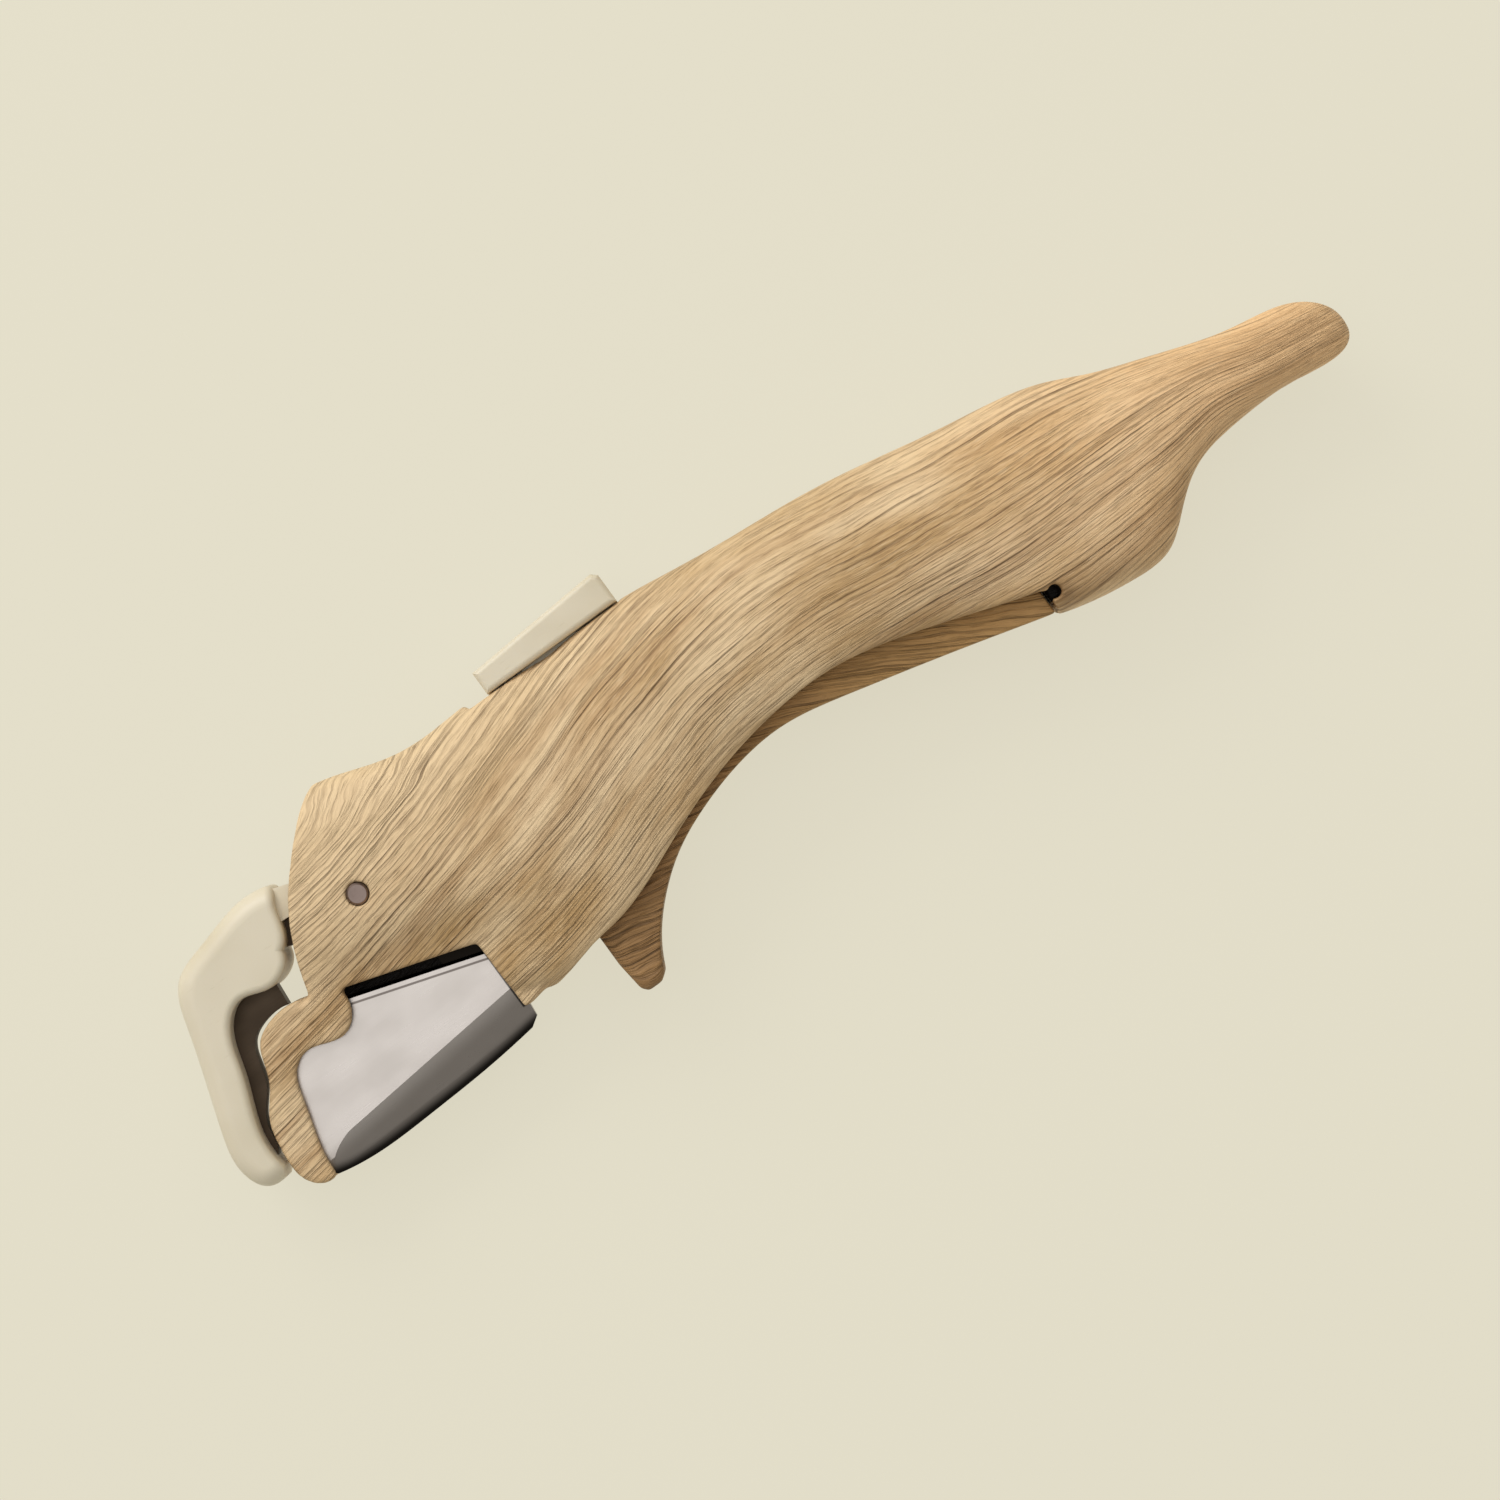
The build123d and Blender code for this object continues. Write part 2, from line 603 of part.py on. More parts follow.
with BuildPart() as guard_pivot_pin:
    column(GUARD_PIVOT, PIVOT_PIN_RADIUS, -PIN_END, PIN_END)
    chamfer(guard_pivot_pin.edges().filter_by(GeomType.CIRCLE), 0.25)
save(guard_pivot_pin, "guard_pivot_pin")

with BuildPart() as lever_pivot_pin:
    column(LEVER_PIVOT, PIVOT_PIN_RADIUS, -LEVER_PIN_HALF, LEVER_PIN_HALF)
save(lever_pivot_pin, "lever_pivot_pin")

with BuildPart() as blade_pivot_pin:
    column(BLADE_PIVOT, BLADE_PIN_RADIUS, -BLADE_PIN_HALF, BLADE_PIN_HALF)
save(blade_pivot_pin, "blade_pivot_pin")

with BuildPart() as locating_dowels:
    for dowel in DOWELS:
        column(dowel, DOWEL_RADIUS, -DOWEL_HALF, DOWEL_HALF)
save(locating_dowels, "locating_dowels")

with BuildPart() as shell_screws:
    for x, y, floor in SHELL_SCREWS:
        column((x, y), SCREW_RADIUS, -floor, INSERT_HIGH - 0.4)
        column((x, y), SCREW_HEAD_RADIUS, -floor - SCREW_HEAD_HEIGHT, -floor)
        with BuildSketch(level(-floor - SCREW_HEAD_HEIGHT)) as socket:
            with Locations((x, y)):
                RegularPolygon(SCREW_SOCKET_RADIUS, 6)
        extrude(socket.sketch, amount=SCREW_SOCKET_DEPTH, mode=Mode.SUBTRACT)
save(shell_screws, "shell_screws")

with BuildPart() as threaded_inserts:
    for x, y, _ in SHELL_SCREWS:
        column((x, y), INSERT_RADIUS, INSERT_LOW, INSERT_HIGH)
        column((x, y), SCREW_RADIUS, INSERT_LOW, INSERT_HIGH, Mode.SUBTRACT)
save(threaded_inserts, "threaded_inserts")

with BuildPart() as slide_guide:
    brick(*GUIDE, -GUIDE_HALF, GUIDE_HALF)
    brick(*stem_room, *GUIDE[2:], -STEM_SLOT_HALF, STEM_SLOT_HALF, Mode.SUBTRACT)
save(slide_guide, "slide_guide")

with BuildPart() as detent_spring:
    strip(DETENT_SPRING, DETENT_THICKNESS, -DETENT_HALF, DETENT_HALF)
save(detent_spring, "detent_spring")

# ---------------------------------------------------------------- squeeze lever

with BuildPart() as squeeze_lever:
    plate(
        [
            LEVER_GRIP,
            [LEVER_GRIP[-1], (-33.3, -25.2)],
            [(-33.3, -25.2), (-35.4, -25.2)],
            [(-35.4, -25.2), (-36.2, -24.3)],
            [(-36.2, -24.3), (-36.7, -20.0)],
            [(-36.7, -20.0), LEVER_TOP[0]],
            LEVER_TOP,
            [LEVER_TOP[-1], (37.0, -2.6)],
            [(37.0, -2.6), (39.2, -5.0)],
            [(39.2, -5.0), LEVER_GRIP[0]],
        ],
        -LEVER_HALF,
        LEVER_HALF,
    )
    rims = squeeze_lever.faces().filter_by(Axis.Z).edges()
    fillet(rims.filter_by_position(Axis.Y, -30.0, -12.0), 1.2)
    column(LEVER_PIVOT, BUSH_RADIUS, -LEVER_HALF, LEVER_HALF, Mode.SUBTRACT)
    # Slot of the nose plate, and its rivet holes.
    brick(*NOSE_PLATE_SEAT, LINK_LOW, LINK_HIGH, Mode.SUBTRACT)
    for rivet in LEVER_RIVETS:
        column(rivet, RIVET_RADIUS, -LEVER_HALF, LEVER_HALF, Mode.SUBTRACT)
    # Seat of the return spring.
    post(SPRING_X, SPRING_BORE_RADIUS, SPRING_BOTTOM, SPRING_TOP, Mode.SUBTRACT)
save(squeeze_lever, "squeeze_lever")

with BuildPart() as lever_bush:
    column(LEVER_PIVOT, BUSH_RADIUS, -LEVER_HALF, LEVER_HALF)
    column(LEVER_PIVOT, PIVOT_PIN_RADIUS + RUNNING_GAP, -LEVER_HALF, LEVER_HALF, Mode.SUBTRACT)
save(lever_bush, "lever_bush")

with BuildPart() as lever_nose_plate:
    hull([(spot, NOSE_EYE_RADIUS) for spot in (DRIVE_PIN, DRIVE_SLOT_END)], LINK_LOW, LINK_HIGH)
    brick(*NOSE_PLATE, LINK_LOW, LINK_HIGH)
    slot_discs = [(spot, DRIVE_PIN_RADIUS + SLOT_GAP) for spot in (DRIVE_PIN, DRIVE_SLOT_END)]
    hull(slot_discs, LINK_LOW, LINK_HIGH, Mode.SUBTRACT)
    for rivet in LEVER_RIVETS:
        column(rivet, RIVET_RADIUS, LINK_LOW, LINK_HIGH, Mode.SUBTRACT)
save(lever_nose_plate, "lever_nose_plate")

with BuildPart() as lever_rivets:
    for rivet in LEVER_RIVETS:
        column(rivet, RIVET_RADIUS, -LEVER_HALF, LEVER_HALF)
save(lever_rivets, "lever_rivets")

with BuildPart() as lever_return_spring:
    end_gap = SPRING_WIRE + SPRING_END_GAP
    spring_length = SPRING_TOP - SPRING_BOTTOM - 2 * end_gap
    spring_start = (SPRING_X, SPRING_BOTTOM + end_gap, MID_Z)
    pitch = spring_length / SPRING_TURNS
    with BuildLine() as coil:
        Helix(pitch, spring_length, SPRING_RADIUS, center=spring_start, direction=(0, 1, 0))
    with BuildSketch(Plane(origin=coil.line @ 0, z_dir=coil.line % 0)):
        Circle(SPRING_WIRE)
    sweep(is_frenet=True)
save(lever_return_spring, "lever_return_spring")

# ---------------------------------------------------------------- nose guard

with BuildPart() as nose_guard:
    plate(
        [
            GUARD_OUTER,
            [GUARD_OUTER[-1], GUARD_INNER[0]],
            GUARD_INNER,
            GUARD_BACK,
        ],
        -GUARD_HALF,
        GUARD_HALF,
    )
    outer_rims = nose_guard.faces().filter_by(Axis.Z).edges().sort_by(SortBy.LENGTH)[-2:]
    outer_length = outer_rims[0].length
    fillet(outer_rims, GUARD_OUTER_ROUND)
    inner_rims = [e for e in nose_guard.faces().filter_by(Axis.Z).edges() if e.length < 0.9 * outer_length]
    fillet(inner_rims, GUARD_INNER_ROUND)
    plate(NECK_OUTLINE, -NECK_HALF, NECK_HALF)
    plate(ARM_OUTLINE, -ARM_HALF, ARM_HALF, Mode.SUBTRACT)
    for pin in GUARD_PINS:
        column(pin, RIVET_RADIUS, -FAR, 3.0, Mode.SUBTRACT)
save(nose_guard, "nose_guard")

with BuildPart() as guard_arm:
    plate(ARM_OUTLINE, -ARM_HALF, ARM_HALF)
    column(GUARD_PIVOT, 5.0, -ARM_HALF, ARM_HALF)
    hull([(GUARD_PIVOT, 3.6), (HORN_PIN, 2.2)], -ARM_HALF, ARM_HALF)
    column(GUARD_PIVOT, BUSH_RADIUS, -ARM_HALF, ARM_HALF, Mode.SUBTRACT)
    column(HORN_PIN, HORN_PIN_RADIUS, -ARM_HALF, ARM_HALF, Mode.SUBTRACT)
    for pin in GUARD_PINS:
        column(pin, RIVET_RADIUS, -ARM_HALF, ARM_HALF, Mode.SUBTRACT)
save(guard_arm, "guard_arm")

with BuildPart() as guard_bush:
    column(GUARD_PIVOT, BUSH_RADIUS, -ARM_HALF, ARM_HALF)
    column(GUARD_PIVOT, PIVOT_PIN_RADIUS + RUNNING_GAP, -ARM_HALF, ARM_HALF, Mode.SUBTRACT)
save(guard_bush, "guard_bush")

with BuildPart() as guard_pins:
    for pin in GUARD_PINS:
        column(pin, RIVET_RADIUS, -5.0, 3.0)
save(guard_pins, "guard_pins")

with BuildPart() as horn_pin:
    column(HORN_PIN, HORN_PIN_RADIUS, -ARM_HALF, LINK_PIN_END)
save(horn_pin, "horn_pin")

with BuildPart() as guard_torsion_spring:
    coil_start = (*GUARD_PIVOT, MID_Z + TORSION_LOW)
    with BuildLine() as coil:
        Helix(TORSION_PITCH, TORSION_TURNS * TORSION_PITCH, TORSION_RADIUS, center=coil_start)
    with BuildSketch(Plane(origin=coil.line @ 0, z_dir=coil.line % 0)):
        Circle(TORSION_WIRE)
    sweep(is_frenet=True)
save(guard_torsion_spring, "guard_torsion_spring")

# ---------------------------------------------------------------- blade

with BuildPart() as bevel_waste:
    plate(
        [
            BEVEL_FRONT,
            [BEVEL_FRONT[-1], (-46.0, -13.36)],
            [(-46.0, -13.36), (-46.0, -26.0)],
            [(-46.0, -26.0), (-88.0, -26.0)],
            [(-88.0, -26.0), BEVEL_FRONT[0]],
        ],
        -1.0,
        BLADE_HALF + 1.0,
    )
    split(bisect_by=slope(*BEVEL_POINTS), keep=Keep.TOP)

with BuildPart() as edge_waste:
    brick(-88.0, -46.0, -26.0, -17.0, -1.0, BLADE_HALF)
    split(bisect_by=slope(*EDGE_POINTS), keep=Keep.TOP)

with BuildPart() as blade:
    plate(BLADE_OUTLINE, -BLADE_HALF, BLADE_HALF)
    back = [(a + b) / 2 for a, b in zip(BLADE_TOP_FRONT, BLADE_TOP_BACK)]
    back_edges = [level(side) * Pos(*back) for side in (-BLADE_HALF, BLADE_HALF)]
    chamfer([blade.edges().sort_by_distance(spot.position)[0] for spot in back_edges], BACK_CHAMFER)
    for waste in (bevel_waste.part, edge_waste.part):
        add(waste, mode=Mode.SUBTRACT)
        mirror(waste, about=level(0), mode=Mode.SUBTRACT)
    brick(*TANG, -TANG_HALF, TANG_HALF)
    for rivet in BLADE_RIVETS:
        column(rivet, BLADE_RIVET_RADIUS, -TANG_HALF, TANG_HALF, Mode.SUBTRACT)
save(blade, "blade")

with BuildPart() as blade_carrier:
    column(BLADE_PIVOT, CARRIER_EYE_RADIUS, -CARRIER_HALF, CARRIER_HALF)
    column(DRIVE_PIN, CARRIER_TOE_RADIUS, -CARRIER_HALF, CARRIER_HALF)
    with BuildSketch(level(-CARRIER_HALF)) as web:
        with BuildLine():
            Polyline(*CARRIER_WEB, close=True)
        make_face()
    extrude(web.sketch, amount=2 * CARRIER_HALF)
    brick(*TANG, -TANG_HALF, TANG_HALF, Mode.SUBTRACT)
    column(BLADE_PIVOT, BLADE_BUSH_RADIUS, -CARRIER_HALF, CARRIER_HALF, Mode.SUBTRACT)
    column(DRIVE_PIN, DRIVE_PIN_RADIUS, -CARRIER_HALF, CARRIER_HALF, Mode.SUBTRACT)
    for rivet in BLADE_RIVETS:
        column(rivet, BLADE_RIVET_RADIUS, -CARRIER_HALF, CARRIER_HALF, Mode.SUBTRACT)
save(blade_carrier, "blade_carrier")

with BuildPart() as blade_bush:
    column(BLADE_PIVOT, BLADE_BUSH_RADIUS, -CARRIER_HALF, CARRIER_HALF)
    column(BLADE_PIVOT, BLADE_PIN_RADIUS + RUNNING_GAP, -CARRIER_HALF, CARRIER_HALF, Mode.SUBTRACT)
save(blade_bush, "blade_bush")

with BuildPart() as blade_rivets:
    for rivet in BLADE_RIVETS:
        column(rivet, BLADE_RIVET_RADIUS, -CARRIER_HALF, CARRIER_HALF)
save(blade_rivets, "blade_rivets")

with BuildPart() as drive_pin:
    column(DRIVE_PIN, DRIVE_PIN_RADIUS, -CARRIER_HALF, LINK_PIN_END)
save(drive_pin, "drive_pin")

# ---------------------------------------------------------------- thumb slide

with BuildPart() as thumb_slider:
    plate(
        [
            [(-29.6, SLIDER_BOTTOM), (-29.6, 23.7)],
            [(-29.6, 23.7), (-8.8, 25.2)],
            [(-8.8, 25.2), (-8.0, 24.5)],
            [(-8.0, 24.5), (-8.0, SLIDER_BOTTOM)],
            [(-8.0, SLIDER_BOTTOM), (-29.6, SLIDER_BOTTOM)],
        ],
        -SLIDER_HALF,
        SLIDER_HALF,
    )
    fillet(thumb_slider.faces().filter_by(Axis.Z).edges(), 0.8)
    brick(STEM_FRONT, STEM_BACK, CARRIAGE_TOP, SLIDER_BOTTOM + 1.0, -STEM_HALF, STEM_HALF)
    for x in SLIDER_SCREWS:
        post(x, SLIDER_SCREW_RADIUS, CARRIAGE_TOP, 22.0, Mode.SUBTRACT)
save(thumb_slider, "thumb_slider")

with BuildPart() as slider_carriage:
    brick(CARRIAGE_FRONT, CARRIAGE_BACK, CARRIAGE_BOTTOM, CARRIAGE_TOP, -CARRIAGE_HALF, CARRIAGE_HALF)
    for x in SLIDER_SCREWS:
        post(x, SLIDER_SCREW_RADIUS, CARRIAGE_BOTTOM, CARRIAGE_TOP, Mode.SUBTRACT)
        post(x, SLIDER_SCREW_HEAD, CARRIAGE_BOTTOM, CARRIAGE_BOTTOM + 1.6, Mode.SUBTRACT)
    for rivet in ROD_RIVETS:
        column(rivet, ROD_RIVET_RADIUS, -CARRIAGE_HALF, CARRIAGE_HALF, Mode.SUBTRACT)
save(slider_carriage, "slider_carriage")

with BuildPart() as slider_screws:
    for x in SLIDER_SCREWS:
        post(x, SLIDER_SCREW_RADIUS, CARRIAGE_BOTTOM + 1.6, 22.0)
        post(x, SLIDER_SCREW_HEAD, CARRIAGE_BOTTOM + 0.3, CARRIAGE_BOTTOM + 1.6)
save(slider_screws, "slider_screws")

with BuildPart() as push_rod:
    strip(ROD_ROUTE, ROD_WIDTH, LINK_LOW, LINK_HIGH)
    hull([(HORN_PIN, EYE_RADIUS), (SLOT_TOP, EYE_RADIUS)], LINK_LOW, LINK_HIGH)
    pin_room = HORN_PIN_RADIUS + SLOT_GAP
    hull([(HORN_PIN, pin_room), (SLOT_TOP, pin_room)], LINK_LOW, LINK_HIGH, Mode.SUBTRACT)
    for rivet in ROD_RIVETS:
        column(rivet, ROD_RIVET_RADIUS, LINK_LOW, LINK_HIGH, Mode.SUBTRACT)
save(push_rod, "push_rod")

with BuildPart() as rod_rivets:
    for rivet in ROD_RIVETS:
        column(rivet, ROD_RIVET_RADIUS, -CARRIAGE_HALF, LINK_HIGH)
save(rod_rivets, "rod_rivets")
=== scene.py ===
"""Looks of the squeeze-lever hand knife: oak shells, cream guard and slide, brushed blade.

The knife lies flat and the camera looks straight down on it. Metres; graphs of the materials
work in millimetres of the row frame.
"""
import json
import math

import bpy
from mathutils import Euler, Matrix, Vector


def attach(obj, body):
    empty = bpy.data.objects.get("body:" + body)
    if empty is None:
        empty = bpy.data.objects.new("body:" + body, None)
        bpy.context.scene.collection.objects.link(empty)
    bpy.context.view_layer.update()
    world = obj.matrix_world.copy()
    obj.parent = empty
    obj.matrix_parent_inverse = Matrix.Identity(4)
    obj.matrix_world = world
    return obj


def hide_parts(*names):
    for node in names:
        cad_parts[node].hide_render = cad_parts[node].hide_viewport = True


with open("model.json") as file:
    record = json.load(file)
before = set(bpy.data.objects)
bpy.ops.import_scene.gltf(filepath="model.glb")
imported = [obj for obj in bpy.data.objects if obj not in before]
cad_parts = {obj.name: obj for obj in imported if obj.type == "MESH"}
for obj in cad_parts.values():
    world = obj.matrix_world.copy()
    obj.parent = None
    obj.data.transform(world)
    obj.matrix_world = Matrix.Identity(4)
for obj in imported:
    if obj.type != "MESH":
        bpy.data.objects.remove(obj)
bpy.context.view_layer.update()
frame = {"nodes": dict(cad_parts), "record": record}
nodes = frame["nodes"]
bodies = frame["record"]["behaviour"]["bodies"]
node_body = {name: body for body, names in bodies.items() for name in names}

MM = 0.001
MID_Z = 10.0  # joint plane of the shells
WELD_DISTANCE = 1e-6
SMOOTH_STEPS = 4


# ---------------------------------------------------------------- meshes


def refined(name, voxel, keep):
    """A copy of a CAD node with softened edges on an even mesh, which stands for it.

    The voxel is in millimetres, and keep is the share of triangles that stays.
    """
    source = nodes[name]
    piece = bpy.data.objects.new(f"{name}_worked", source.data.copy())
    bpy.context.scene.collection.objects.link(piece)
    bpy.context.view_layer.objects.active = piece
    weld = piece.modifiers.new("weld", "WELD")
    weld.merge_threshold = WELD_DISTANCE
    remesh = piece.modifiers.new("remesh", "REMESH")
    remesh.mode = "VOXEL"
    remesh.voxel_size = voxel * MM
    remesh.use_smooth_shade = True
    smooth = piece.modifiers.new("smooth", "CORRECTIVE_SMOOTH")
    smooth.use_only_smooth = True
    smooth.iterations = SMOOTH_STEPS
    smooth.factor = 0.5
    thin = piece.modifiers.new("thin", "DECIMATE")
    thin.ratio = keep
    flatten(piece)
    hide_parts(name)
    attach(piece, node_body[name])
    return piece


def flatten(piece):
    """Applies every modifier of a piece and shades it smooth."""
    graph = bpy.context.evaluated_depsgraph_get()
    made = bpy.data.meshes.new_from_object(piece.evaluated_get(graph))
    piece.modifiers.clear()
    piece.data = made
    for polygon in made.polygons:
        polygon.use_smooth = True


# ---------------------------------------------------------------- material graphs


def colour(red, green, blue):
    """Linear colour from a display colour, 0 to 255."""
    parts = [part / 255 for part in (red, green, blue)]
    linear = [p / 12.92 if p <= 0.04045 else ((p + 0.055) / 1.055) ** 2.4 for p in parts]
    return (*linear, 1.0)


class Graph:
    """A material's node tree, with one short call per node.

    Most methods take numbers or sockets and give back a socket.
    """

    def __init__(self, name):
        self.material = bpy.data.materials.new(name)
        self.material.use_nodes = True
        self.tree = self.material.node_tree
        self.shader = self.tree.nodes["Principled BSDF"]

    def plug(self, socket, value):
        """Sets a socket to a number or a colour, or links it."""
        if isinstance(value, bpy.types.NodeSocket):
            self.tree.links.new(value, socket)
        else:
            socket.default_value = value

    def add(self, kind, *values, **settings):
        """A new node with its settings, and its first inputs set or linked."""
        node = self.tree.nodes.new(kind)
        for key, value in settings.items():
            setattr(node, key, value)
        for socket, value in zip(node.inputs, values):
            self.plug(socket, value)
        return node

    def math(self, operation, first, second=0.0):
        return self.add("ShaderNodeMath", first, second, operation=operation).outputs[0]

    def total(self, first, *others):
        for other in others:
            first = self.math("ADD", first, other)
        return first

    def product(self, first, *others):
        for other in others:
            first = self.math("MULTIPLY", first, other)
        return first

    def scaled(self, value, factor, shift=0.0):
        """The value times a factor, plus a shift."""
        node = self.add("ShaderNodeMath", value, factor, shift, operation="MULTIPLY_ADD")
        return node.outputs[0]

    def place(self):
        """x, y and z of the row frame, in millimetres."""
        spot = self.add("ShaderNodeTexCoord").outputs["Object"]
        parts = self.add("ShaderNodeSeparateXYZ", spot)
        return [self.math("MULTIPLY", part, 1 / MM) for part in parts.outputs]

    def noise(self, where, sizes, detail=2.0, rough=0.5):
        """Noise between 0 and 1, with the size of its specks along the axes in millimetres."""
        parts = [self.scaled(part, 1 / size) for part, size in zip(where, sizes)]
        node = self.add("ShaderNodeTexNoise")
        self.plug(node.inputs["Vector"], self.add("ShaderNodeCombineXYZ", *parts).outputs[0])
        node.inputs["Scale"].default_value = 1.0
        node.inputs["Detail"].default_value = detail
        node.inputs["Roughness"].default_value = rough
        return node.outputs["Fac"]

    def step(self, value, low, high, to_low=0.0, to_high=1.0):
        """Smooth step of a value from low to high."""
        node = self.add("ShaderNodeMapRange", interpolation_type="SMOOTHSTEP")
        numbers = {"From Min": low, "From Max": high, "To Min": to_low, "To Max": to_high}
        for key, number in numbers.items():
            node.inputs[key].default_value = number
        self.plug(node.inputs["Value"], value)
        return node.outputs["Result"]

    def curve(self, value, points):
        """A smooth curve through points over a value."""
        xs = [x for x, y in points]
        ys = [y for x, y in points]
        x_span, y_span = xs[-1] - xs[0], max(ys) - min(ys)
        spots = [((x - xs[0]) / x_span, (y - min(ys)) / y_span) for x, y in points]
        node = self.add("ShaderNodeFloatCurve")
        line = node.mapping.curves[0]
        line.points[0].location = spots[0]
        line.points[1].location = spots[-1]
        for spot in spots[1:-1]:
            line.points.new(*spot)
        node.mapping.update()
        self.plug(node.inputs["Value"], self.scaled(value, 1 / x_span, -xs[0] / x_span))
        return self.scaled(node.outputs[0], y_span, min(ys))

    def blob(self, x, y, centre, spread):
        """1 at a point of the side view, fading out round it."""
        parts = [self.scaled(v, 1 / s, -c / s) for v, c, s in zip((x, y), centre, spread)]
        square = self.total(*[self.product(part, part) for part in parts])
        return self.math("EXPONENT", self.product(square, -1.0))

    def mix(self, share, first, second):
        """The first colour where the share is 0, the second where it is 1."""
        node = self.add("ShaderNodeMix", data_type="RGBA")
        self.plug(node.inputs[0], share)
        self.plug(node.inputs[6], first)
        self.plug(node.inputs[7], second)
        return node.outputs[2]

    def bump(self, height, depth):
        """Relief of a height between 0 and 1, with a depth in millimetres."""
        node = self.add("ShaderNodeBump")
        node.inputs["Strength"].default_value = 1.0
        node.inputs["Distance"].default_value = depth * MM
        self.plug(node.inputs["Height"], height)
        self.plug(self.shader.inputs["Normal"], node.outputs[0])

    def finish(self, **sockets):
        """Sets the shader's sockets and gives the material."""
        for key, value in sockets.items():
            self.plug(self.shader.inputs[key.replace("_", " ")], value)
        return self.material


# ---------------------------------------------------------------- wood

# The grain follows the handle: height of its middle line along x, and how it crowds together.
GRAIN_LINE = [
    (-100, -17.5), (-75, -13.5), (-60, -10.8), (-45, -7.4), (-30, -3.2), (-15, 1.2), (0, 4.0),
    (10, 4.6), (25, 3.4), (40, 1.6), (55, 0.6), (70, -0.6), (85, -4.0), (100, -5.8),
]
GRAIN_CROWDING = [(-100, 1.0), (40, 1.0), (60, 1.2), (75, 1.8), (100, 2.4)]
PITH_DEPTH = 38.0  # below the middle line
WANDER = 3.4
WILD_CENTRE = (-56.0, 17.0)  # the grain wavers most here
WILD_SPREAD = (17.0, 8.0)
WILD_SWAY = 1.8
CALM_SWAY = 0.32
KNOT_CENTRE = (-62.0, 19.0)
KNOT_SPREAD = (13.0, 5.5)
KNOT_LIFT = 4.5
RING_PITCH = 0.85
RING_CROWDING = 10.0  # radians by which the rings run ahead

# Size of each figure along the grain, across the rings and through the thickness.
WANDER_SIZE = (40, 13, 13)
WAVER_SIZE = (7, 2.6, 2.6)
PATCH_SIZE = (24, 8, 8)
BAND_SIZE = (90, 2.4, 10)
LINE_SIZE = (50, 0.36, 10)
CROWD_SIZE = (70, 4, 10)
FADE_SIZE = (22, 2, 10)
PORE_SIZE = (4, 0.25, 3)
FIBRE_SIZE = (3, 0.18, 2)

# Where the noise of each figure starts to show and shows fully.
PATCH_STEP = (0.3, 0.7)
BAND_STEP = (0.46, 0.72)
RING_STEP = (0.40, 0.97)
LINE_STEP = (0.54, 0.70)
PORE_STEP = (0.56, 0.72)
FADE_STEP = (0.30, 0.62)
FADE_LEAST = 0.30
TAIL_FADE = (55.0, 85.0)  # the rings fade between these x
TAIL_LEAST = 0.6
DARK_FIBRE_STEP = (0.50, 0.75)
LIGHT_FIBRE_STEP = (0.50, 0.28)

# How much each figure changes the tone, and its depth in the relief.
WARMTH_AND_LIGHT_SHARE = 0.8
BAND_WARMTH = 0.12
BAND_SHARE = 0.42
CREST_FIGURE_AND_LIGHT = (9.0, 20.0)  # heights over the middle line between which the wood pales, partly a paler figure and partly painted light on the upper band
CREST_FIGURE_AND_LIGHT_SHARE = 0.8
RING_SHARE = 0.36
LINE_SHARE = 0.42
PORE_SHARE = 0.16
FIBRE_SHARE = 0.40
LINE_DEPTH = 0.6
FIBRE_DEPTH = 0.6
RING_DEPTH = 0.5
BAND_DEPTH = 0.3
PORE_DEPTH = 0.3
WOOD_ROUGHNESS = (0.18, 0.48)  # span, and where it starts

# Black shadow is painted on the wood inside the window and in the notch behind the lever.
PAINTED_SHADOW = colour(30, 24, 20)
PAINTED_SHADOW_HALF = 2.1  # on either side of the joint plane
PAINTED_SHADOW_X = (-71.6, -46.0)
PAINTED_SHADOW_Y = 4.0  # painted shadow below this height
NOTCH = (40.5, -13.6)
NOTCH_REACH = 1.25
NOTCH_SHADOW_HALF = 7.0
NOTCH_SHADE = (41.4, -14.6)
NOTCH_SHADE_REACH = 1.5
NOTCH_SHADE_SHARE = 0.5


def ring_radius(g, x, y, z, across, burl):
    """Distance from a pith below the handle, so that the top and the sides show one tree."""
    wild = g.blob(x, y, WILD_CENTRE, WILD_SPREAD)
    knot = g.blob(x, y, KNOT_CENTRE, KNOT_SPREAD)
    wander = g.noise((x, across, z), WANDER_SIZE, 1.0)
    waver = g.noise((x, across, z), WAVER_SIZE, 1.5)
    high = g.total(across, PITH_DEPTH)
    deep = g.math("SUBTRACT", z, MID_Z)
    radius = g.math("SQRT", g.total(g.product(high, high), g.product(deep, deep)))
    sway = g.product(g.scaled(waver, 1.0, -0.5), g.scaled(wild, WILD_SWAY, CALM_SWAY + burl))
    wander = g.scaled(wander, WANDER, -WANDER / 2)
    return g.total(radius, wander, sway, g.product(knot, KNOT_LIFT))


def shadow_mask(g, x, y, z):
    """1 where black shadow is painted in the window and in the notch, 0 elsewhere."""
    deep = g.math("ABSOLUTE", g.math("SUBTRACT", z, MID_Z))
    window = g.product(
        g.math("LESS_THAN", deep, PAINTED_SHADOW_HALF),
        g.math("GREATER_THAN", x, PAINTED_SHADOW_X[0]),
        g.math("LESS_THAN", x, PAINTED_SHADOW_X[1]),
        g.math("LESS_THAN", y, PAINTED_SHADOW_Y),
    )
    round_notch = g.blob(x, y, NOTCH, (NOTCH_REACH, NOTCH_REACH))
    notch = g.product(
        g.math("GREATER_THAN", round_notch, 1 / math.e),
        g.math("LESS_THAN", deep, NOTCH_SHADOW_HALF),
    )
    return g.math("MAXIMUM", window, notch)


